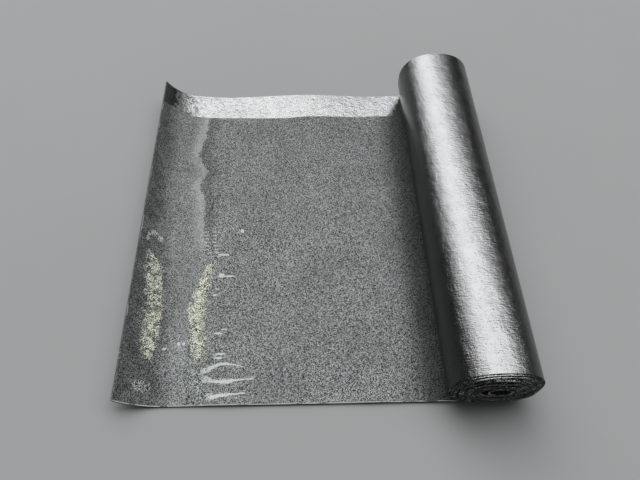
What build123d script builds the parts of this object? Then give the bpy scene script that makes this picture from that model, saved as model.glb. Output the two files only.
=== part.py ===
"""Roll of mineral-faced bitumen roofing felt, partly unrolled on level ground.

One strip of felt lies flat from its curled free end to the roll, runs under the roll,
up its right side, over the top and down its left side, and so on inwards. The film
face is outside on the roll and below on the laid part; the mineral face is on top.
The roll has sagged: it is wider than it is high, and so is the hollow inside it.

Millimetres, +Z up. +Y runs along the roll from its near end to its far end, and the
laid felt reaches towards -X. The origin is on the ground, in the middle of the plan.
"""
import os
from math import atan2, cos, degrees, sin

from build123d import *

# The strip of felt
felt_width = 1000.0
felt_thickness = 4.0

# The roll: laps are counted inwards from where the felt leaves the ground
roll_width = 211.0
roll_height = 178.0
shown_turns_depth = 12.0

# Each lap lies on the one below it with this little air between them. Above, the laps
# have sagged away from each other: one gap for each lap, found under its top. These
# gaps run round the roll, at these shares of their height where they pass its sides.
lap_gap = 0.1
top_gaps = (1.0, 0.3, 0.2, 0.4, 0.3, 0.3, 1.8, 0.3, 0.2, 1.6, 0.3, 0.3, 0.8, 0.3, 0.3, 0.0)
left_gap_share = 0.6
right_gap_share = 0.4

# The felt's inner end stands this far off the left wall of the hollow
inner_end_gap = 17.0

# The laid felt, measured along the strip from under the roll to the free end, which
# still curls up as it did on the roll. The far edge curls over more of its length.
laid_length = 856.0
curl_radius = 137.0
near_curl_length = 123.0
far_curl_length = 146.0

# The curl is drawn this much too long, and its end is then cut off straight
overcut_degrees = 10.0

laps = len(top_gaps)
lap_pitch = felt_thickness + lap_gap
packed_width = felt_width - 2 * shown_turns_depth


def lap_bottom(lap):
    """The height of a lap's film face where it passes under the hollow."""
    return lap * lap_pitch


def lap_top(lap):
    """The height of a lap's film face where it passes over the hollow."""
    return roll_height - lap * lap_pitch - sum(top_gaps[:lap])


def lap_right(lap):
    """How far to the right a lap's film face reaches."""
    return roll_width / 2 - lap * lap_pitch - right_gap_share * sum(top_gaps[:lap])


def lap_left(lap):
    """How far to the left a lap's film face reaches."""
    left = lap * lap_pitch + left_gap_share * sum(top_gaps[:lap]) - roll_width / 2
    return left + inner_end_gap if lap == laps - 1 else left


def right_arc(lap, inset=0.0):
    """The half circle in which a lap climbs the right side, at a depth below its film."""
    radius = (lap_top(lap) - lap_bottom(lap)) / 2
    centre = (lap_right(lap) - radius, lap_bottom(lap) + radius)
    return CenterArc(centre, radius - inset, -90, 180)


def left_arc(lap, inset=0.0):
    """The half circle in which a lap comes down the left side, onto the next lap."""
    radius = (lap_top(lap) - lap_bottom(lap + 1)) / 2
    centre = (lap_left(lap) + radius, lap_bottom(lap + 1) + radius)
    return CenterArc(centre, radius - inset, 90, 180)


def joined(arcs):
    """Arcs in the order of the strip, with the straight runs between them."""
    edges = [arcs[0]]
    for arc in arcs[1:]:
        edges += [Line(edges[-1] @ 1, arc @ 0), arc]
    return edges


def wound_face(count, inset=0.0):
    """The film face, or a face inset below it, over the outer laps, from the middle."""
    arcs = []
    for lap in range(count):
        arcs += [right_arc(lap, inset), left_arc(lap, inset)]
    return [Line((0, inset), arcs[0] @ 0)] + joined(arcs)


def closed_section(one_side, other_side):
    """A face between two runs of edges, closed by a straight cut at each end."""
    start = Line(one_side[0] @ 0, other_side[0] @ 0)
    end = Line(one_side[-1] @ 1, other_side[-1] @ 1)
    return make_face(one_side + other_side + [start, end])


def wound_section():
    """The real strip on the roll, wound up with the gaps between its laps."""
    return closed_section(wound_face(laps), wound_face(laps, felt_thickness))


def hollow_section():
    """The space inside the innermost lap, where a bar can go through the roll."""
    lap = laps - 1
    walls = joined([right_arc(lap, felt_thickness), left_arc(lap, felt_thickness)])
    inner_end = walls[-1] @ 1
    floor = walls[0] @ 0
    foot = (inner_end.X, floor.Y)
    return make_face(walls + [Line(inner_end, foot), Line(foot, floor)])


def inner_end_section():
    """The space between the felt's inner end and the lap round it, on the left."""
    wall = left_arc(laps - 2, felt_thickness)
    inner_end = left_arc(laps - 1)
    above = Line(((inner_end @ 0).X, (wall @ 0).Y), wall @ 0)
    below = Line(wall @ 1, ((inner_end @ 1).X, (wall @ 1).Y))
    return closed_section([above, wall, below], [inner_end])


def packed_section():
    """The roll's own outline, with the laps closed up round the hollow."""
    outer_lap = wound_face(1)
    closing = Line(outer_lap[-1] @ 1, outer_lap[0] @ 0)
    return make_face(outer_lap + [closing]) - hollow_section() - inner_end_section()


def roll():
    """The packed roll, with its turns open at both ends."""
    body = extrude(Plane.XZ * packed_section(), packed_width / 2, both=True)
    for end in (felt_width / 2, -packed_width / 2):
        body += extrude(Plane.XZ.offset(end) * wound_section(), -shown_turns_depth)
    return body


def free_edge_point(curl_length, y):
    """The middle of the felt's thickness at the free end, at its near or far edge."""
    angle = curl_length / curl_radius
    return Vector(
        curl_length - laid_length - curl_radius * sin(angle),
        y,
        felt_thickness / 2 + curl_radius * (1 - cos(angle)),
    )


def laid_felt():
    """The flat felt and its curl, which is round about a line set askew to the roll."""
    skew = atan2(far_curl_length - near_curl_length, felt_width)
    curl_start = (near_curl_length + far_curl_length) / 2 - laid_length
    section_plane = Plane(
        origin=(curl_start, 0, 0),
        x_dir=(cos(skew), -sin(skew), 0),
        z_dir=(-sin(skew), -cos(skew), 0),
    )
    longest_curl = max(near_curl_length, far_curl_length) / curl_radius
    turn = -degrees(longest_curl) - overcut_degrees
    centre = (0, felt_thickness / 2 + curl_radius)
    film = [
        Line((laid_length, 0), (0, 0)),
        CenterArc(centre, curl_radius + felt_thickness / 2, -90, turn),
    ]
    mineral = [
        Line((laid_length, felt_thickness), (0, felt_thickness)),
        CenterArc(centre, curl_radius - felt_thickness / 2, -90, turn),
    ]
    long_sheet = extrude(section_plane * closed_section(film, mineral), felt_width, both=True)
    plan = Box(
        2 * laid_length, felt_width, 4 * curl_radius,
        align=(Align.MAX, Align.CENTER, Align.CENTER),
    )
    near_point = free_edge_point(near_curl_length, -felt_width / 2)
    far_point = free_edge_point(far_curl_length, felt_width / 2)
    middle_angle = (near_curl_length + far_curl_length) / 2 / curl_radius
    through_felt = Vector(sin(middle_angle), 0, cos(middle_angle))
    end_cut = Plane(
        origin=(near_point + far_point) / 2,
        z_dir=(far_point - near_point).cross(through_felt),
    )
    return split(long_sheet & plan, bisect_by=end_cut, keep=Keep.TOP)


def roofing_felt():
    """The whole strip as one solid, moved so that the origin is in the middle."""
    felt = roll() + laid_felt()
    return Pos(-felt.bounding_box().center().X, 0, 0) * felt


os.makedirs("parts", exist_ok=True)
export_step(roofing_felt(), "parts/roofing_felt.step")
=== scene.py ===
import math

import bpy
import numpy as np
from mathutils import Matrix, Vector


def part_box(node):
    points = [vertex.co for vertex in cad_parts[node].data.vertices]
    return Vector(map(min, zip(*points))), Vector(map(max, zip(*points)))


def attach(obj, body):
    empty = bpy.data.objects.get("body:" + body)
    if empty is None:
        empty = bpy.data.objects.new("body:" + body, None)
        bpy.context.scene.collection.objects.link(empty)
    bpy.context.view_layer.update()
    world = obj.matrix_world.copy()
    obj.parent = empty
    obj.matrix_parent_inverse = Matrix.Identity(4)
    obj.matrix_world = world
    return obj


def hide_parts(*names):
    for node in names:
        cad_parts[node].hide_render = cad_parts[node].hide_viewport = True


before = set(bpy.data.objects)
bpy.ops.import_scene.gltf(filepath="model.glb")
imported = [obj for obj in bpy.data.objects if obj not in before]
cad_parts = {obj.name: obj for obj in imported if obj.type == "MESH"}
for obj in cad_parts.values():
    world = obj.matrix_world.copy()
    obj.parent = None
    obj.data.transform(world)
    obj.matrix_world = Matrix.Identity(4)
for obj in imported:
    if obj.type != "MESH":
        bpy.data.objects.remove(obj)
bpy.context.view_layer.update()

cad_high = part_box("roofing_felt")[1]

# The strip of felt, in metres
felt_width = 1.0
thickness = 0.004
laps = 16
lap_air = 0.0001
lap_pitch = thickness + lap_air

# The roll's outline: two half superellipses, the lower one boxier where it has sagged.
# The solid's right side and roll width place its middle, and its ends are shifted.
roll_width = 0.2097
roll_height = 0.1783
widest_height = 0.4755 * roll_height
upper_exponent = 2.21
lower_exponent = 2.82
cad_roll_width = 0.211
roll_middle = cad_high[0] - cad_roll_width / 2
near_end_shift = 0.006
far_end_shift = -0.006

# The inner laps are rounder: half circles with straight runs above and below, which
# the softness curves a little, and all set in by the inset
side_softness = 0.2
round_inset = 0.0027

# Each lap moves in by one pitch, onto the next, from this angle and over these degrees
drift_start, drift_span = 100, 170

# The half turn at the felt's inner end bulges by this share of its radius
inner_end_bulge = 0.06

# How much of the outline's boxy lower corners each lap still has, from outside inwards
corner_shares = (1.0, 0.95, 0.90, 0.82, 0.24, 0.18, 0.13, 0.09, 0.05, 0.02)

# Gaps under a lap: its number, the middle and half width in degrees, and the air in mm
near_gaps = (
    (0, 195, 75, 0.7),
    (1, 110, 130, 1.2),
    (4, 60, 110, 0.6),
    (6, 125, 115, 2.2),
    (7, 60, 100, 0.3),
    (9, 140, 110, 1.8),
    (10, 60, 110, 0.3),
    (11, 90, 120, 1.2),
    (13, 80, 110, 1.6),
    (14, 110, 110, 0.6),
)
far_gaps = (
    (0, 20, 80, 0.9),
    (2, 100, 110, 0.8),
    (5, 90, 110, 1.3),
    (8, 120, 120, 1.6),
    (10, 90, 120, 0.3),
    (11, 70, 110, 1.4),
    (13, 90, 120, 1.2),
    (14, 100, 110, 0.9),
)

# How far the laps stick out of the near end, by lap counted inwards. Their edges are
# ragged from frayed_from_lap inwards, with slow and with quick waves of these depths.
slip_laps = (
    0, 0.9, 1.15, 2.05, 2.35, 3.9, 4.3, 5.0, 6.2, 6.9, 7.4, 9.0, 9.6,
    11.0, 11.5, 13.0, 16,
)
slip_depths = (
    0, 0, 0.0026, 0.0028, 0.0062, 0.0060, 0.0090, 0.0086, 0.0078, 0.0084, 0.0104, 0.0100, 0.0080,
    0.0086, 0.0100, 0.0092, 0.0100,
)
slow_fray, quick_fray = 0.0007, 0.0008
frayed_from_lap = 0.8

# The laid felt, along the strip from the free edge to under the roll's middle
laid_length = 0.8561
near_curl_length = 0.1227
far_curl_length = 0.1460
curl_radius = 0.1373

# Waves of its edges: the middle and half length along the strip, and the height. They
# reach in from the edge by a width, and the near ones run out under the roll.
far_edge_waves = ((0.13, 0.05, 0.006), (0.46, 0.16, 0.012), (0.78, 0.10, 0.006))
near_edge_waves = (
    (0.27, 0.08, 0.0035), (0.44, 0.07, 0.0020), (0.60, 0.07, 0.0035), (0.74, 0.04, 0.0020),
)
near_edge_lift = 0.0008
far_wave_width = 0.23
near_wave_width = 0.05
near_wave_run_out = 0.04

# The line where the granules end and the bare band begins, as (s, y) points
selvedge_line = (
    (0.0, 0.417), (0.029, 0.422), (0.055, 0.423), (0.072, 0.417), (0.102, 0.412),
    (0.159, 0.410), (0.272, 0.408), (0.337, 0.405), (0.403, 0.404), (0.457, 0.410),
    (0.566, 0.411), (0.62, 0.409), (0.675, 0.413), (1.0, 0.413),
)

# Loose granules cover the bare band beside the roll, beyond a line askew to the roll.
# The line is ragged: depth of each wave, and its radians to a metre along s and y.
strewn_from = 0.729
strewn_slope = 0.62
strewn_line_y = 0.415
strewn_waves = ((0.005, 260, 210), (0.003, 430, -330))

# The mesh: cells across the strip, how far they crowd towards its edges, columns along
# its laid part, and degrees of winding between two columns on the outermost lap and on
# the others
row_cells = 32
row_crowding = 0.5
laid_columns = 150
outer_step = 3
inner_step = 6

# Rows this near to the selvedge line are moved with the row that lies on it
moved_rows_width = 0.06

# Edges of the mesh that turn by more than this many degrees stay sharp
sharp_turn = 40


def smooth(value):
    """0 below 0, 1 above 1, and a smooth rise in between."""
    value = np.clip(value, 0.0, 1.0)
    return value * value * (3 - 2 * value)


def superellipse_reach(angle, half_width, half_height, exponent):
    """How far a superellipse reaches in a direction."""
    power = exponent / (exponent - 1)
    across = (half_width * np.abs(np.cos(angle))) ** power
    upwards = (half_height * np.abs(np.sin(angle))) ** power
    return (across + upwards) ** (1 / power)


def outline_reach(angle):
    """How far the roll's outline reaches in a direction, from the middle of its height."""
    half_width = roll_width / 2
    upper = superellipse_reach(angle, half_width, roll_height - widest_height, upper_exponent)
    lower = superellipse_reach(angle, half_width, widest_height, lower_exponent)
    reach = np.where(np.sin(angle) > 0, upper, lower)
    return reach + (widest_height - roll_height / 2) * np.sin(angle)


def round_reach(angle):
    """The same for the rounder form that the inner laps take, at the roll's own size."""
    level = np.sqrt(np.cos(angle) ** 2 + side_softness ** 2) - side_softness
    level /= math.sqrt(1 + side_softness ** 2) - side_softness
    return roll_height / 2 - round_inset + (roll_width - roll_height) / 2 * level


def window(value, centre, half_width):
    """1 at the centre, falling smoothly to 0 at half_width to either side."""
    away = np.clip(np.abs(value - centre) / half_width, 0, 1)
    return np.cos(away * math.pi / 2) ** 2


def lap_reach(lap, degrees, gaps):
    """How far the film face of a lap reaches, from the angle below (-90) round to 270."""
    angle = np.radians(degrees)
    share = corner_shares[lap] if lap < len(corner_shares) else 0.0
    reach = round_reach(angle) * (1 - share) + outline_reach(angle) * share
    drift = smooth((degrees - drift_start) / drift_span)
    reach = reach - (lap + drift) * lap_pitch
    for gap_lap, centre, half_width, air in gaps:
        if gap_lap < lap:
            reach = reach - air / 1000 * window(degrees, centre, half_width)
    return reach


def wound_path(gaps, shift):
    """Film points, outward normals and lap numbers, at each degree of the winding."""
    degrees = np.arange(0, 360 * laps + 1)
    turn = np.minimum(degrees // 360, laps - 1)
    own = degrees - 360 * turn - 90
    reach = np.zeros(len(degrees))
    for lap in range(laps):
        chosen = turn == lap
        reach[chosen] = lap_reach(lap, own[chosen].astype(float), gaps)
    angle = np.radians(own)
    slope = np.gradient(reach, math.radians(1))
    normal = np.stack([np.cos(angle), np.sin(angle)], axis=1)
    along = np.stack([-np.sin(angle), np.cos(angle)], axis=1)
    points = reach[:, None] * normal + slope[:, None] * along
    points += (roll_middle + shift, roll_height / 2)
    return points, normal, degrees / 360


def kept_steps():
    """The degrees of winding that get a column: finer on the outermost lap."""
    outer = list(range(0, 360, outer_step))
    inner = list(range(360, 360 * (laps - 1) + 180 + 1, inner_step))
    return outer + inner


def inner_end(start, floor_height):
    """The last half turn, which stands off the wall: points, normals and lap numbers."""
    radius = (start[1] - floor_height) / 2
    turned = np.radians(np.arange(inner_step * 2, 181, inner_step * 2))
    centre = start - (0, radius)
    normal = np.stack([-np.sin(turned), np.cos(turned)], axis=1)
    bulge = 1 + inner_end_bulge * np.sin(turned) ** 2
    points = centre + radius * normal * bulge[:, None]
    return points, normal, laps - 0.5 + turned / (2 * math.pi)


def roll_section(gaps, shift):
    """The whole wound strip at one end of the roll."""
    points, normal, lap = wound_path(gaps, shift)
    steps = kept_steps()
    tail = inner_end(points[steps[-1]], laps * lap_pitch)
    outer = (points[steps], normal[steps], lap[steps])
    return [np.concatenate(pair) for pair in zip(outer, tail)]


def wave_height(s, waves):
    """How far a wavy edge of the laid felt stands off the ground."""
    return sum(height * np.exp(-((s - middle) / spread) ** 2) for middle, spread, height in waves)


def laid_surface(s, y):
    """Middle of the felt's thickness, and its upward normal, at points of the laid felt."""
    part = y / felt_width + 0.5
    curl = near_curl_length + (far_curl_length - near_curl_length) * part
    angle = np.clip(curl - s, 0, None) / curl_radius
    shift = near_end_shift + (far_end_shift - near_end_shift) * part
    start = roll_middle - laid_length + curl + shift * smooth(s / laid_length)
    x = start + np.clip(s - curl, 0, None) - curl_radius * np.sin(angle)
    far_side = smooth((y - felt_width / 2) / far_wave_width + 1) ** 1.5
    near_side = smooth((-y - felt_width / 2) / near_wave_width + 1)
    near_side = near_side * smooth((laid_length - s) / near_wave_run_out)
    rise = wave_height(s, far_edge_waves) * far_side
    rise += (near_edge_lift + wave_height(s, near_edge_waves)) * near_side
    z = thickness / 2 + curl_radius * (1 - np.cos(angle)) + rise
    normal = np.stack([np.sin(angle), np.zeros_like(x), np.cos(angle)], axis=-1)
    return np.stack([x, y, z], axis=-1), normal


def row_positions():
    """Places across the strip, closer together towards its edges."""
    part = np.linspace(0, 1, row_cells + 1)
    even = (1 - row_crowding) * (part - 0.5)
    return felt_width * (even - row_crowding / 2 * np.cos(math.pi * part))


def selvedge_row(rows):
    """The row of the mesh that is moved onto the line where the granules end."""
    return int(np.argmin(np.abs(rows - selvedge_line[-1][1])))


def laid_part(rows):
    """Film points, mineral points and (s, y, lap) of the laid felt's columns and rows."""
    s = np.linspace(0, laid_length, laid_columns + 1)[:-1]
    s_grid, y_grid = np.meshgrid(s, rows, indexing="ij")
    row = selvedge_row(rows)
    moved = np.interp(s, *zip(*selvedge_line)) - rows[row]
    y_grid = y_grid + moved[:, None] * window(rows, rows[row], moved_rows_width)[None, :]
    middle, normal = laid_surface(s_grid, y_grid)
    strip = np.stack([s_grid, y_grid, np.zeros_like(s_grid)], axis=-1)
    return middle - normal * thickness / 2, middle + normal * thickness / 2, strip


def slip_at(lap):
    """How far the wound strip has slipped towards the near end, raggedly."""
    turned = 2 * math.pi * lap
    inner = smooth(lap - frayed_from_lap)
    slip = np.interp(lap, slip_laps, slip_depths)
    slip += slow_fray * np.sin(1.31 * turned) * np.sin(0.77 * turned + 1) * inner
    slip += quick_fray * np.sin(4.7 * turned + 2 * np.sin(1.6 * turned)) * inner
    return slip


def wound_part(rows):
    """The same for the wound felt, which is straight from its near to its far section."""
    near = roll_section(near_gaps, near_end_shift)
    far = roll_section(far_gaps, far_end_shift)
    mix = (rows / felt_width + 0.5)[None, :, None]
    points, across = (near[i][:, None, :] * (1 - mix) + far[i][:, None, :] * mix for i in (0, 1))
    lap = near[2][:, None] + 0 * rows[None, :]
    y = rows[None, :] - slip_at(lap)
    middle_line = near[0] - near[1] * thickness / 2
    steps = np.linalg.norm(np.diff(middle_line, axis=0), axis=1)
    s = laid_length + np.concatenate([[0], np.cumsum(steps)])
    film = np.stack([points[..., 0], y, points[..., 1]], axis=-1)
    outward = np.stack([across[..., 0], 0 * y, across[..., 1]], axis=-1)
    strip = np.stack([s[:, None] + 0 * y, rows[None, :] + 0 * y, lap], axis=-1)
    return film, film - outward * thickness, strip


def felt_surfaces():
    """Film points, mineral points and (s, y, lap) of every column and row."""
    rows = row_positions()
    return [np.concatenate(pair) for pair in zip(laid_part(rows), wound_part(rows))]


# The order of the felt's materials
mineral_index, film_index, cut_index, selvedge_index = 0, 1, 2, 3


def grid_quads(grid):
    """The quads of a grid of point numbers. They face the other way if it is transposed."""
    corners = (grid[:-1, :-1], grid[1:, :-1], grid[1:, 1:], grid[:-1, 1:])
    return np.stack([corner.ravel() for corner in corners], axis=1)


def felt_faces(columns, rows):
    """Quads of the closed strip and their material numbers."""
    film = np.arange(columns * rows).reshape(columns, rows)
    mineral = film + columns * rows
    bare = selvedge_row(row_positions())
    near_edge = np.stack([film[:, 0], mineral[:, 0]], axis=1)
    far_edge = np.stack([film[:, -1], mineral[:, -1]])
    free_end = np.stack([film[0], mineral[0]])
    wound_end = np.stack([film[-1], mineral[-1]], axis=1)
    sides = (
        (film.T, film_index),
        (mineral[:, :bare + 1], mineral_index),
        (mineral[:, bare:], selvedge_index),
        (near_edge, cut_index),
        (far_edge, cut_index),
        (free_end, cut_index),
        (wound_end, cut_index),
    )
    quads = [grid_quads(grid) for grid, _ in sides]
    kinds = [np.full(len(part), kind) for part, (_, kind) in zip(quads, sides)]
    return np.concatenate(quads), np.concatenate(kinds)


def strewn_faces(faces, kinds, strip):
    """Bare band faces beside the roll that loose granules cover, with a ragged border."""
    s, y = strip[faces].mean(axis=1)[:, :2].T
    ragged = sum(depth * np.sin(along * s + across * y) for depth, along, across in strewn_waves)
    covered = s + ragged - strewn_slope * (y - strewn_line_y) > strewn_from
    return np.where((kinds == selvedge_index) & covered, mineral_index, kinds)


def make_felt(materials):
    """The whole strip of felt as one closed mesh."""
    film, mineral, strip = felt_surfaces()
    columns, rows = film.shape[:2]
    vertices = np.concatenate([film, mineral]).reshape(-1, 3)
    places = np.concatenate([strip, strip]).reshape(-1, 3)
    depths = np.repeat([0.0, 1.0], columns * rows)
    faces, kinds = felt_faces(columns, rows)
    kinds = strewn_faces(faces, kinds, places)
    mesh = bpy.data.meshes.new("felt")
    mesh.from_pydata(vertices.tolist(), [], faces.tolist())
    for material in materials:
        mesh.materials.append(material)
    mesh.polygons.foreach_set("material_index", kinds.astype(np.int32))
    mesh.polygons.foreach_set("use_smooth", np.ones(len(faces), dtype=bool))
    mesh.set_sharp_from_angle(angle=math.radians(sharp_turn))
    place = mesh.attributes.new("strip", "FLOAT_VECTOR", "POINT")
    place.data.foreach_set("vector", places.astype(np.float32).ravel())
    depth = mesh.attributes.new("depth", "FLOAT", "POINT")
    depth.data.foreach_set("value", depths.astype(np.float32))
    mesh.update()
    felt = bpy.data.objects.new("felt", mesh)
    bpy.context.scene.collection.objects.link(felt)
    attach(felt, "root")
    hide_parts("roofing_felt")


class Shader:
    """The node tree of a material or the world, with short calls that add to it."""

    def __init__(self, owner):
        owner.use_nodes = True
        self.owner = owner
        self.tree = owner.node_tree
        self.tree.nodes.clear()

    def add(self, kind, settings=None, **inputs):
        """A new node. The names of its inputs are given with _ for each space."""
        node = self.tree.nodes.new(kind)
        for key, value in (settings or {}).items():
            setattr(node, key, value)
        for key, value in inputs.items():
            self.feed(node.inputs[key.replace("_", " ")], value)
        return node

    def feed(self, socket, value):
        """Links an input to another node's output, or sets it to a fixed value."""
        if isinstance(value, bpy.types.NodeSocket):
            self.tree.links.new(value, socket)
        else:
            socket.default_value = value

    def filled(self, kind, settings, values):
        """A new node whose inputs are fed in their order."""
        node = self.add(kind, settings)
        for socket, value in zip(node.inputs, values):
            self.feed(socket, value)
        return node

    def math(self, operation, *values):
        """One number, worked out from up to three others."""
        return self.filled("ShaderNodeMath", {"operation": operation}, values).outputs[0]

    def chain(self, operation, values):
        """The same operation from one value to the next."""
        result = values[0]
        for value in values[1:]:
            result = self.math(operation, result, value)
        return result

    def product(self, *values):
        return self.chain("MULTIPLY", values)

    def total(self, *values):
        return self.chain("ADD", values)

    def highest(self, *values):
        return self.chain("MAXIMUM", values)

    def difference(self, first, second):
        return self.math("SUBTRACT", first, second)

    def vector_math(self, operation, *values):
        """The outputs of an operation on vectors."""
        return self.filled("ShaderNodeVectorMath", {"operation": operation}, values).outputs

    def scaled(self, vector, scale):
        return self.vector_math("MULTIPLY", vector, scale)[0]

    def shifted(self, vector, shift):
        return self.vector_math("ADD", vector, shift)[0]

    def length(self, vector):
        return self.vector_math("LENGTH", vector)["Value"]

    def dimmed(self, colour, factor):
        """A colour made darker or brighter by a number that varies."""
        node = self.add("ShaderNodeVectorMath", {"operation": "SCALE"}, Scale=factor)
        self.feed(node.inputs[0], colour)
        return node.outputs[0]

    def parts(self, vector):
        """The three numbers of a vector."""
        return self.add("ShaderNodeSeparateXYZ", Vector=vector).outputs

    def position(self):
        """Where the point being shaded is."""
        return self.add("ShaderNodeNewGeometry").outputs["Position"]

    def cells(self, vector, scale):
        """A random tone for each cell, and a height that is lowest between cells."""
        node = self.add("ShaderNodeTexVoronoi", Vector=vector, Scale=scale)
        tone = self.parts(node.outputs["Color"])[0]
        return tone, self.difference(1.0, node.outputs["Distance"])

    def noise(self, vector, scale, detail=2.0, roughness=0.5):
        """Soft noise between 0 and 1."""
        node = self.add("ShaderNodeTexNoise", Vector=vector, Scale=scale)
        node.inputs["Detail"].default_value = detail
        node.inputs["Roughness"].default_value = roughness
        return node.outputs[0]

    def step(self, value, low, high):
        """0 up to low and 1 from high on. With low above high, 1 up to high, 0 from low."""
        ends = (value, low, high, 0.0, 1.0) if low < high else (value, high, low, 1.0, 0.0)
        settings = {"interpolation_type": "SMOOTHSTEP"}
        return self.filled("ShaderNodeMapRange", settings, ends).outputs[0]

    def colour(self, factor, first, second):
        """The first colour where the factor is 0, the second where it is 1."""
        node = self.add("ShaderNodeMix", {"data_type": "RGBA"})
        self.feed(node.inputs[0], factor)
        self.feed(node.inputs[6], first)
        self.feed(node.inputs[7], second)
        return node.outputs[2]

    def number(self, factor, first, second):
        """The first number where the factor is 0, the second where it is 1."""
        node = self.add("ShaderNodeMix", {"data_type": "FLOAT"})
        self.feed(node.inputs[0], factor)
        self.feed(node.inputs[2], first)
        self.feed(node.inputs[3], second)
        return node.outputs[0]

    def layered(self, base, *layers):
        """A colour with others over it, each given as a mask and its colour."""
        for mask, colour in layers:
            base = self.colour(mask, base, colour)
        return base

    def curve(self, value, low, high, points, top=1.0):
        """A smooth curve through (value, height) points. Heights run from 0 to top."""
        node = self.add("ShaderNodeFloatCurve")
        line = node.mapping.curves[0]
        places = [((x - low) / (high - low), y / top) for x, y in points]
        line.points[0].location = places[0]
        line.points[1].location = places[-1]
        for place in places[1:-1]:
            line.points.new(*place)
        node.mapping.update()
        part = self.math("DIVIDE", self.difference(value, low), high - low)
        self.feed(node.inputs["Value"], part)
        return self.product(node.outputs[0], top)

    def bump(self, height, strength, distance):
        """The surface's direction where a height makes it uneven."""
        node = self.add("ShaderNodeBump", Height=height, Strength=strength, Distance=distance)
        return node.outputs[0]

    def material(self, **inputs):
        """The finished material, from the inputs of its one surface."""
        bsdf = self.add("ShaderNodeBsdfPrincipled", **inputs)
        self.add("ShaderNodeOutputMaterial", Surface=bsdf.outputs[0])
        return self.owner


class FeltShader(Shader):
    """A material of the felt. It knows the place on the strip: s, y and the lap."""

    def __init__(self, name):
        super().__init__(bpy.data.materials.new(name))
        self.strip = self.attribute("strip", "Vector")
        self.s, self.y, self.lap = self.parts(self.strip)

    def attribute(self, name, output):
        """What the mesh carries under a name at each of its points."""
        return self.add("ShaderNodeAttribute", {"attribute_name": name}).outputs[output]

    def grain(self, scale, detail=2.0, roughness=0.5):
        """Noise that lies on the strip, the same size along and across it."""
        return self.noise(self.strip, scale, detail, roughness)

    def stretched(self, along, across, detail=2.0, roughness=0.5):
        """The same with a size of its own along and across the strip."""
        vector = self.scaled(self.strip, (along, across, 0.0))
        return self.noise(vector, 1.0, detail, roughness)


def grey(value, warmth=0.0):
    """A grey, a little redder and less blue for its warmth."""
    return (value * (1 + warmth), value, value * (1 - warmth), 1.0)


# The film's index of refraction, and how dull the granules and the cut edges are
film_refraction = 1.65
dull_shine = 0.15
granule_roughness = 0.9
cut_roughness = 0.6

# How rough the film is at its smoothest, and what clouds, sand, grime and pits add
film_roughness = 0.13
cloud_roughness, sand_roughness, grime_roughness, pit_roughness = 0.08, 0.3, 0.7, 0.6

# How deep the bumps of each surface are, in metres
granule_relief, band_relief, film_relief, cut_relief = 0.0011, 0.0011, 0.00075, 0.0008

# Granules: how many cells there are to a metre, how much each kind counts in the tone,
# and the colours of the darkest and the palest
large_cells, small_cells, soft_cells = 710.0, 1150.0, 700.0
large_share, small_share, soft_share = 0.6, 0.25, 0.2
granule_colours = (grey(0.002), (0.140, 0.146, 0.143, 1))

# How bright the granules are in each zone, next to the plain ones
far_part_shade, near_band_shade, rim_shade, wake_shade = 0.93, 1.16, 1.25, 0.66
# The one beside the roll is painted shade: the roll's shadow on the granules next to it
curl_shade, painted_roll_shadow = 0.46, 0.27

# How ragged the outlines of the marks are, in metres: slowly along and across the
# strip, and finely at the tide line
ragged_along, ragged_across, frayed = 0.022, 0.006, 0.012

# What lies on the granules and how much of it hides them in the band and its rim, and the colour
# of a painted highlight along the felt's edges
dust_cover, rim_dust_cover = 0.20, 0.42
dust_colour = (0.075, 0.079, 0.078, 1)
rim_dust_colour = (0.118, 0.122, 0.115, 1)
residue_colour = (0.256, 0.260, 0.212, 1)
lime_colour = (0.190, 0.199, 0.194, 1)
# The colour of a painted highlight along the near edge and the free edge
edge_highlight_colour = (0.13, 0.135, 0.13, 1)

# The film, the bare band and what is pressed into it or lies on it
film_colours = (grey(0.0006, 0.02), grey(0.0014, 0.05))
band_colours = ((0.0145, 0.0150, 0.0115, 1), (0.0105, 0.0115, 0.0145, 1))
sand_colour = (0.035, 0.036, 0.036, 1)
pale_grain_colour = (0.18, 0.185, 0.18, 1)
grime_colour = grey(0.004)
film_dust_colour = grey(0.36)

# The cut edges: their core, the dust, granules and film that show along them, painted light on
# the innermost lap and a painted highlight on the laid felt's edges
core_colours = (grey(0.0005), grey(0.003))
core_streak_colour = grey(0.014)
fleck_colour = grey(0.55)
# Painted light on the innermost lap's cut edge, broken into pale flecks
inner_end_painted_light_colour = (0.34, 0.36, 0.34, 1)
crust_colour = grey(0.26)
skin_colour = grey(0.0004)
# A painted highlight on the cut edges of the laid felt, where they catch the light
laid_edge_highlight_colour = grey(0.035)

# Marks on the laid felt, in metres: s runs along the strip from its free edge, and y
# across it. Lines that run across the strip are (y, s) points, the others (s, y).
tide_line = (
    (-0.5, 0.165), (-0.40, 0.160), (-0.30, 0.160), (-0.20, 0.170), (-0.115, 0.195),
    (-0.077, 0.181), (0.004, 0.172), (0.055, 0.168), (0.104, 0.164), (0.141, 0.150),
    (0.193, 0.166), (0.22, 0.155), (0.259, 0.137), (0.299, 0.145), (0.351, 0.153), (0.5, 0.156),
)
dust_line = (
    (-0.5, 0.120), (-0.39, 0.108), (-0.25, 0.100), (-0.10, 0.085), (0.0, 0.065),
    (0.12, 0.060), (0.27, 0.055), (0.5, 0.05),
)

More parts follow.
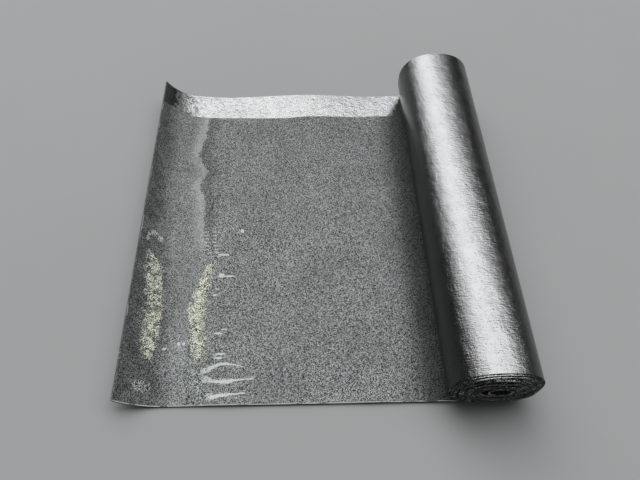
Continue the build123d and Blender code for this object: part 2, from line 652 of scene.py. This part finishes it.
# Patches of residue: the left and right outline, how soft each is, and the granule tone
# from which the residue shows
residue_patches = (
    (
        (
            (-0.392, 0.058), (-0.357, 0.045), (-0.266, 0.044), (-0.199, 0.037),
            (-0.135, 0.029), (-0.089, 0.023),
        ),
        (
            (-0.392, 0.080), (-0.35, 0.088), (-0.298, 0.091), (-0.257, 0.091),
            (-0.173, 0.081), (-0.127, 0.072), (-0.108, 0.054), (-0.089, 0.029),
        ),
        0.020, 0.009, 0.45,
    ),
    (
        (
            (-0.39, 0.178), (-0.332, 0.164), (-0.298, 0.163), (-0.255, 0.154),
            (-0.229, 0.158), (-0.188, 0.169), (-0.142, 0.183), (-0.113, 0.200),
        ),
        (
            (-0.39, 0.203), (-0.339, 0.205), (-0.307, 0.196), (-0.229, 0.199),
            (-0.189, 0.202), (-0.157, 0.206), (-0.128, 0.214), (-0.113, 0.214),
        ),
        0.008, 0.014, 0.38,
    ),
)

# Lime streaks: the middle line, and the half width along it
streaks = (
    (
        (
            (0.175, -0.424), (0.210, -0.414), (0.232, -0.403), (0.253, -0.399),
            (0.276, -0.402), (0.298, -0.407),
        ),
        (
            (0.175, 0.012), (0.210, 0.009), (0.232, 0.0060), (0.253, 0.0050),
            (0.276, 0.0026), (0.298, 0.0026),
        ),
    ),
    (
        (
            (0.180, -0.434), (0.212, -0.437), (0.234, -0.442), (0.264, -0.442),
            (0.286, -0.439), (0.323, -0.437),
        ),
        (
            (0.180, 0.014), (0.212, 0.010), (0.234, 0.0050), (0.260, 0.0075),
            (0.286, 0.0030), (0.323, 0.0032),
        ),
    ),
    (
        (
            (0.200, -0.462), (0.223, -0.479), (0.242, -0.477), (0.263, -0.475),
            (0.282, -0.473), (0.304, -0.472),
        ),
        (
            (0.200, 0.013), (0.223, 0.010), (0.242, 0.0055), (0.263, 0.0050),
            (0.282, 0.0028), (0.304, 0.0030),
        ),
    ),
)
widest_streak = 0.02
streak_tone = 0.10

# The lime that joins the three streaks: its left and right outline and their softness
streak_join = (
    ((-0.49, 0.195), (-0.462, 0.180), (-0.438, 0.165), (-0.405, 0.160)),
    ((-0.49, 0.225), (-0.462, 0.212), (-0.438, 0.205), (-0.405, 0.195)),
    0.012, 0.010,
)
join_tone = 0.60

# Rows of small lime rungs, by their distance past the tide line
rung_rows = (0.008, 0.030)
rung_radians_per_metre = 560.0
rung_tone = 0.34

# Small lime marks: middle (s, y), half length along s, half width along y, and the
# granule tone from which they show, which is higher the fainter they are
small_marks = (
    (0.231, -0.093, 0.016, 0.0028, 0.05),
    (0.230, -0.156, 0.008, 0.0065, 0.05),
    (0.249, -0.159, 0.017, 0.0024, 0.05),
    (0.217, -0.214, 0.007, 0.0030, 0.20),
    (0.231, -0.320, 0.011, 0.0030, 0.20),
    (0.246, -0.310, 0.009, 0.0025, 0.20),
    (0.241, -0.374, 0.014, 0.0028, 0.15),
    (0.236, -0.384, 0.011, 0.0028, 0.15),
    (0.278, -0.017, 0.0045, 0.0055, -0.2),
    (0.139, -0.346, 0.0042, 0.0045, 0.05),
    (0.151, -0.347, 0.0040, 0.0040, 0.05),
    (0.105, -0.359, 0.005, 0.004, 0.25),
    (0.026, -0.056, 0.007, 0.016, 0.52),
    (0.040, -0.040, 0.014, 0.010, 0.50),
    (0.060, -0.052, 0.009, 0.011, 0.52),
    (0.064, -0.455, 0.026, 0.016, 0.62),
)


def band_across(felt, s, left, right, left_soft, right_soft):
    """1 between two lines that run across the strip, over the left one's range of y."""
    low, high = left[0][0], left[-1][0]
    past_left = felt.difference(s, felt.curve(felt.y, low, high, left))
    before_right = felt.difference(felt.curve(felt.y, low, high, right), s)
    return felt.product(
        felt.step(past_left, -left_soft, left_soft),
        felt.step(before_right, -right_soft, right_soft),
        felt.step(felt.y, low - 0.01, low + 0.01),
        felt.step(felt.y, high + 0.004, high - 0.01),
    )


def streak_mask(felt, y, line, half_width, ragged):
    """1 on a streak along the strip, from its middle line and half width."""
    low, high = line[0][0], line[-1][0]
    middle = felt.curve(felt.s, low, high, [(s, place + 0.5) for s, place in line])
    spread = felt.curve(felt.s, low, high, half_width, widest_streak)
    away = felt.math("ABSOLUTE", felt.difference(felt.total(y, 0.5), middle))
    reach = felt.product(spread, felt.math("MULTIPLY_ADD", ragged, 2.2, -0.25))
    return felt.product(
        felt.step(felt.difference(reach, away), -0.0002, 0.0012),
        felt.step(felt.s, low - 0.01, low + 0.030),
        felt.step(felt.s, high, high - 0.002),
    )


def mark_mask(felt, mark, ragged):
    """1 on a small mark with a ragged outline."""
    s, y, half_length, half_width = mark
    centred = felt.shifted(felt.strip, (-s, -y, 0))
    away = felt.length(felt.scaled(centred, (1 / half_length, 1 / half_width, 0)))
    return felt.step(felt.difference(away, ragged), 0.75, 0.25)


def rung_mask(felt, tide, offset):
    """1 on the rungs of a row that runs along the tide line."""
    away = felt.math("ABSOLUTE", felt.difference(felt.difference(felt.s, tide), offset))
    wave = felt.math("SINE", felt.product(felt.y, rung_radians_per_metre))
    return felt.product(
        felt.step(away, 0.0085, 0.004),
        felt.step(wave, 0.1, 0.7),
        felt.step(felt.y, -0.108, -0.10),
        felt.step(felt.y, 0.015, -0.02),
    )


def on_granules(felt, mask, tone, level, thinning=0.8):
    """A mark on the granules whose tone is above a level, thinning out at its rim."""
    left_out = felt.product(felt.difference(1.0, mask), thinning)
    shown = felt.step(felt.difference(tone, left_out), level, level + 0.08)
    return felt.product(shown, felt.step(mask, 0.02, 0.12))


def granules(felt):
    """A random tone for each granule, and the granules' height."""
    large_tone, large_height = felt.cells(felt.strip, large_cells)
    small_tone, small_height = felt.cells(felt.strip, small_cells)
    tone = felt.total(
        felt.product(large_tone, large_share),
        felt.product(small_tone, small_share),
        felt.product(felt.grain(soft_cells, 1.0, 0.6), soft_share),
    )
    return tone, felt.total(large_height, felt.product(small_height, 0.5))


def tide_zones(felt, s, fray, tide, dusty):
    """The dusty band up to the tide line, its pale rim, and the dark wake past the line."""
    past = felt.difference(felt.total(s, felt.product(fray, frayed)), tide)
    before = felt.step(past, 0.002, -0.002)
    far_part = felt.step(felt.y, -0.12, 0.02)
    band = felt.product(felt.step(felt.difference(s, dusty), -0.035, 0.035), before)
    rim = felt.product(felt.step(past, -0.045, -0.004), before, far_part)
    wake = felt.product(felt.step(past, 0.002, 0.006), felt.step(past, 0.05, 0.015), far_part)
    return band, rim, wake


def dusty_granules(felt, tone, s, fray, tide):
    """The granules' colour: dusty up to the tide line, dark on the curl, with painted shade by
    the roll.
    """
    dusty = felt.curve(felt.y, -0.5, 0.5, dust_line)
    band, rim, wake = tide_zones(felt, s, fray, tide, dusty)
    curled = felt.step(felt.difference(s, dusty), 0.03, -0.03)
    near_band = felt.product(band, felt.step(felt.y, -0.20, -0.40))
    cloud = felt.step(felt.grain(7.0, 4.0, 0.6), 0.3, 0.7)
    mottle = felt.step(felt.grain(26.0, 4.0, 0.6), 0.35, 0.65)
    shade = felt.product(
        felt.number(cloud, 0.88, 1.1),
        felt.number(felt.step(felt.y, -0.05, 0.4), 1.0, far_part_shade),
        felt.number(wake, 1.0, wake_shade),
        felt.number(near_band, 1.0, near_band_shade),
        felt.number(rim, 1.0, rim_shade),
        felt.number(curled, 1.0, curl_shade),
        # Painted shade: the roll's shadow on the granules beside it
        felt.number(felt.step(felt.s, 0.66, 0.745), 1.0, painted_roll_shadow),
        felt.number(curled, 1.0, felt.number(mottle, 0.75, 1.3)),
    )
    base = felt.layered(
        felt.colour(felt.step(tone, 0.46, 0.64), *granule_colours),
        (felt.product(band, dust_cover), dust_colour),
        (felt.product(rim, rim_dust_cover), rim_dust_colour),
    )
    return felt.dimmed(base, shade)


def residue_layers(felt, tone, s, slow):
    """The patches of residue, thinner here and there."""
    layers = []
    for *outline, level in residue_patches:
        uneven = felt.number(felt.step(slow, -0.12, 0.08), 0.50, 1.0)
        patch = felt.product(band_across(felt, s, *outline), uneven)
        layers.append((on_granules(felt, patch, tone, level, 0.5), residue_colour))
    return layers


def lime(felt, tone, s, y, ragged, tide):
    """Where there is lime: the streaks and their join, the small marks and the rungs."""
    worn = felt.difference(tone, felt.number(felt.step(felt.s, 0.200, 0.245), 0.26, 0.0))
    shown = []
    for line, half_width in streaks:
        streak = streak_mask(felt, y, line, half_width, ragged)
        shown.append(on_granules(felt, streak, worn, streak_tone))
    for *mark, level in small_marks:
        shown.append(on_granules(felt, mark_mask(felt, mark, ragged), tone, level))
    join = band_across(felt, s, *streak_join)
    shown.append(on_granules(felt, join, tone, join_tone))
    for offset in rung_rows:
        rungs = rung_mask(felt, tide, offset)
        shown.append(on_granules(felt, rungs, tone, rung_tone))
    return felt.highest(*shown)


def edge_highlights(felt):
    """Where a painted highlight lies in patches along the near edge and the free edge."""
    near_gaps = felt.step(felt.stretched(40.0, 1.0, 3.0, 0.6), 0.38, 0.52)
    free_gaps = felt.step(felt.stretched(1.0, 12.0, 3.0, 0.6), 0.5, 0.6)
    return felt.highest(
        felt.product(felt.step(felt.y, -0.4970, -0.4985), near_gaps),
        felt.product(felt.step(felt.s, 0.0035, 0.0015), free_gaps),
    )


def mineral_material():
    """Charcoal granules, with the dust, the residue and the lime that lie on them, painted shade
    beside the roll and a painted highlight along the edges.
    """
    felt = FeltShader("mineral_face")
    tone, height = granules(felt)
    slow = felt.difference(felt.grain(60.0, 4.0, 0.6), 0.5)
    quick = felt.grain(330.0, 2.0, 0.6)
    s = felt.total(felt.s, felt.product(slow, ragged_along))
    y = felt.total(felt.y, felt.product(slow, ragged_across))
    tide = felt.curve(felt.y, -0.5, 0.5, tide_line)
    base = felt.layered(
        dusty_granules(felt, tone, s, felt.difference(quick, 0.5), tide),
        *residue_layers(felt, tone, s, slow),
        (lime(felt, tone, s, y, quick, tide), lime_colour),
        # A painted highlight along the near edge and the free edge
        (edge_highlights(felt), edge_highlight_colour),
    )
    normal = felt.bump(height, 0.8, granule_relief)
    return felt.material(
        Base_Color=base, Roughness=granule_roughness, Normal=normal,
        Specular_IOR_Level=dull_shine,
    )


def film_surface(felt):
    """Colour, roughness and height of the smooth film, faintly ribbed round the roll."""
    cloud = felt.grain(14.0, 3.0)
    ribs = felt.stretched(70.0, 300.0, 1.0, 0.6)
    sand = felt.grain(270.0, 1.0, 0.6)
    blots = felt.grain(150.0, 3.0, 0.6)
    dents = felt.grain(22.0, 2.0)
    patchy = felt.step(felt.grain(30.0, 3.0, 0.6), 0.35, 0.65)
    fine = felt.product(felt.total(ribs, felt.product(sand, 0.8)), felt.number(patchy, 0.6, 1.0))
    height = felt.total(fine, felt.product(blots, 0.25), felt.product(dents, 1.2))
    rough = felt.total(film_roughness, felt.product(cloud, cloud_roughness))
    return felt.colour(cloud, *film_colours), rough, height


def pressed_sand(felt, edge):
    """Sand grains in the bare band, closer together beside the granules."""
    limit = felt.number(felt.step(edge, 0.022, 0.0), 0.66, 0.52)
    grains = felt.difference(felt.grain(300.0, 2.0, 0.6), limit)
    return felt.product(felt.step(grains, 0.0, 0.07), felt.step(felt.s, 0.02, 0.06))


def band_grime(felt, edge):
    """Grime on the bare band: in its cracks, in a row of dashes, and beside the roll."""
    cracks = felt.product(
        felt.step(felt.grain(75.0, 3.0, 0.6), 0.50, 0.58),
        felt.step(felt.s, 0.03, 0.06),
        felt.step(felt.s, 0.16, 0.08),
    )
    dashes = felt.product(
        felt.step(felt.stretched(90.0, 260.0, 1.0, 0.5), 0.56, 0.62),
        felt.step(felt.s, 0.16, 0.19),
        felt.step(felt.s, 0.33, 0.29),
        felt.step(edge, 0.018, 0.026),
        felt.step(edge, 0.042, 0.034),
        0.7,
    )
    past_border = felt.difference(felt.s, felt.product(edge, strewn_slope))
    strewn = felt.product(felt.step(past_border, 0.690, 0.735), 0.36)
    loose = felt.step(felt.total(felt.grain(380.0, 2.0, 0.6), strewn), 0.72, 0.80)
    return felt.highest(cracks, dashes, loose)


def selvedge_material():
    """The bare band beside the granules: film with sand grains pressed into it."""
    felt = FeltShader("bare_band")
    film, rough, height = film_surface(felt)
    edge = felt.difference(felt.y, felt.curve(felt.s, 0.0, 1.0, selvedge_line))
    sand = pressed_sand(felt, edge)
    grime = band_grime(felt, edge)
    tint = felt.colour(felt.step(felt.grain(22.0, 2.0), 0.4, 0.6), *band_colours)
    pale = felt.step(felt.grain(420.0, 2.0, 0.6), 0.60, 0.70)
    base = felt.layered(
        film,
        (felt.step(felt.s, 0.05, 0.11), tint),
        (sand, sand_colour),
        (felt.product(pale, felt.step(felt.s, 0.03, 0.09)), pale_grain_colour),
        (grime, grime_colour),
    )
    crumpled = felt.number(felt.step(felt.s, 0.03, 0.08), 0.3, 2.2)
    creases = felt.product(felt.stretched(60.0, 110.0, 3.0, 0.6), crumpled)
    normal = felt.bump(felt.total(height, creases), 1.0, band_relief)
    rough = felt.total(
        rough, felt.product(sand, sand_roughness), felt.product(grime, grime_roughness),
    )
    return felt.material(
        Base_Color=base, Roughness=rough, Normal=normal, IOR=film_refraction,
    )


def film_material():
    """Shiny black film, with dust on the laps that stick out of the roll."""
    felt = FeltShader("film_face")
    film, rough, height = film_surface(felt)
    dust = felt.step(felt.grain(240.0, 3.0, 0.7), 0.54, 0.68)
    inner_laps = felt.step(felt.lap, 0.95, 1.1)
    base = felt.layered(film, (felt.product(dust, inner_laps), film_dust_colour))
    pits = felt.step(felt.grain(170.0, 1.0, 0.5), 0.80, 0.84)
    rough = felt.total(rough, felt.product(pits, pit_roughness))
    normal = felt.bump(height, 1.0, film_relief)
    return felt.material(
        Base_Color=base, Roughness=rough, Normal=normal, IOR=film_refraction,
    )


def cut_material():
    """The cut edges: a black core between the film's skin and the granules' pale crust, with
    painted light on the innermost lap and a painted highlight on the laid felt's edges.
    """
    felt = FeltShader("cut_edge")
    place = felt.position()
    depth = felt.attribute("depth", "Fac")
    grain = felt.noise(place, 600.0, 3.0, 0.6)
    flecks = felt.noise(place, 200.0, 3.0, 0.7)
    grit = felt.noise(place, 420.0, 2.0, 0.6)
    streak = felt.stretched(60.0, 1.0)
    patchy = felt.number(felt.step(felt.noise(place, 75.0, 2.0, 0.6), 0.42, 0.60), 0.12, 1.0)
    cleaner_far_end = felt.number(felt.step(felt.y, -0.2, 0.2), 1.0, 0.3)
    fleck = felt.product(felt.step(flecks, 0.55, 0.63), cleaner_far_end, patchy)
    # Painted light on the innermost lap's cut edge, broken into pale flecks
    inner_end_painted_light = felt.product(
        felt.step(felt.lap, 14.6, 14.9),
        felt.step(flecks, 0.49, 0.58),
        felt.step(felt.y, 0.2, -0.2),
    )
    crust = felt.product(felt.step(depth, 0.60, 0.80), felt.step(grit, 0.38, 0.56), patchy)
    # A painted highlight on the cut edges of the laid felt
    laid = felt.product(felt.step(felt.s, 0.80, 0.70), felt.number(streak, 0.5, 1.0))
    base = felt.layered(
        felt.colour(grain, *core_colours),
        (felt.step(streak, 0.58, 0.75), core_streak_colour),
        (fleck, fleck_colour),
        (inner_end_painted_light, inner_end_painted_light_colour),
        (crust, crust_colour),
        (felt.step(depth, 0.26, 0.10), skin_colour),
        (laid, laid_edge_highlight_colour),
    )
    normal = felt.bump(grain, 0.8, cut_relief)
    return felt.material(
        Base_Color=base, Roughness=cut_roughness, Normal=normal,
        Specular_IOR_Level=dull_shine,
    )


# The floor under the felt, a hair below it so that the two don't share a plane
floor_half_size = 20.0
floor_drop = 0.0002
floor_colours = (grey(0.083), grey(0.091))


def floor_material():
    """A plain pale floor."""
    floor = Shader(bpy.data.materials.new("pale_floor"))
    cloud = floor.noise(floor.position(), 1.2, 3.0)
    return floor.material(Base_Color=floor.colour(cloud, *floor_colours), Roughness=0.9)


def make_floor():
    """A large plain floor under the felt."""
    half = floor_half_size
    mesh = bpy.data.meshes.new("floor")
    corners = [(-half, -half, 0), (half, -half, 0), (half, half, 0), (-half, half, 0)]
    mesh.from_pydata(corners, [], [(0, 1, 2, 3)])
    mesh.materials.append(floor_material())
    floor = bpy.data.objects.new("floor", mesh)
    bpy.context.scene.collection.objects.link(floor)
    floor.location.z = -floor_drop


# How bright the studio's big soft light is across the roll: the angle from its middle in
# degrees, negative to the left, and the brightness there
light_across = (
    (-110, 0.004), (-85, 0.008), (-66, 0.018), (-57, 0.05), (-50, 0.14), (-44, 0.29),
    (-38, 0.47), (-32, 0.63), (-22, 0.82), (-12, 0.94), (-2, 1.0), (8, 1.0), (18, 0.91),
    (28, 0.68), (37, 0.31), (46, 0.10), (56, 0.035), (70, 0.012), (110, 0.006),
)
light_edge = 110
light_strength = 13.2
light_colour = (0.97, 0.99, 1.0, 1)

# The light lies askew to the roll: degrees by which that angle is turned, and how many
# more towards the far end
light_turn = -28.0
light_lean = 62.0

# The brightness of the room, what it gains behind the camera, and what the camera sees
room_strength = 0.055
behind_strength = 0.35
backdrop_strength = 0.62


def make_light():
    """One big soft light above and behind the felt, in a dim room."""
    world = bpy.data.worlds.new("studio")
    sky = Shader(world)
    x, y, z = sky.parts(sky.add("ShaderNodeTexCoord").outputs["Generated"])
    across = sky.product(sky.math("ARCTAN2", x, z), 180 / math.pi)
    across = sky.total(across, sky.math("MULTIPLY_ADD", y, light_lean, light_turn))
    far_part = sky.step(y, 0.62, 0.76)
    across = sky.product(across, sky.number(far_part, 1.0, 0.92))
    soft = sky.product(
        sky.curve(across, -light_edge, light_edge, light_across),
        sky.step(y, -0.1, 0.15),
        sky.number(far_part, 1.0, 0.74),
        sky.step(y, 0.97, 0.85),
        sky.step(z, 0.04, 0.14),
    )
    behind = sky.product(sky.step(y, 0.2, -0.3), behind_strength)
    strength = sky.total(room_strength, behind, sky.product(soft, light_strength))
    seen = sky.add("ShaderNodeLightPath").outputs["Is Camera Ray"]
    strength = sky.number(seen, strength, backdrop_strength)
    background = sky.add("ShaderNodeBackground", Strength=strength, Color=light_colour)
    sky.add("ShaderNodeOutputWorld", Surface=background.outputs[0])
    bpy.context.scene.world = world
    bpy.context.scene.view_settings.view_transform = "Standard"


# The camera fitted to the photograph: where it is, how it is turned in degrees, and its
# focal length in pixels of an image this wide
camera_place = Vector((roll_middle - 0.41617, -0.9368, 1.3480))
camera_yaw = 3.1775
camera_pitch = 56.526
camera_roll = 2.021
focal_pixels = 594.05
image_width = 640


def make_camera():
    """The camera, from its place and its three angles."""
    yaw, pitch, roll = (math.radians(turn) for turn in (camera_yaw, camera_pitch, camera_roll))
    level = Vector((math.sin(yaw), math.cos(yaw), 0))
    right = Vector((math.cos(yaw), -math.sin(yaw), 0))
    up = Vector((0, 0, 1))
    forward = level * math.cos(pitch) - up * math.sin(pitch)
    upward = up * math.cos(pitch) + level * math.sin(pitch)
    x_axis = right * math.cos(roll) + upward * math.sin(roll)
    y_axis = upward * math.cos(roll) - right * math.sin(roll)
    data = bpy.data.cameras.new("camera")
    data.sensor_width = 36.0
    data.lens = focal_pixels * data.sensor_width / image_width
    camera = bpy.data.objects.new("camera", data)
    bpy.context.scene.collection.objects.link(camera)
    axes = Matrix((x_axis, y_axis, -forward)).transposed().to_4x4()
    camera.matrix_world = Matrix.Translation(camera_place) @ axes
    bpy.context.scene.camera = camera


make_floor()
make_felt([mineral_material(), film_material(), cut_material(), selvedge_material()])
make_light()
make_camera()
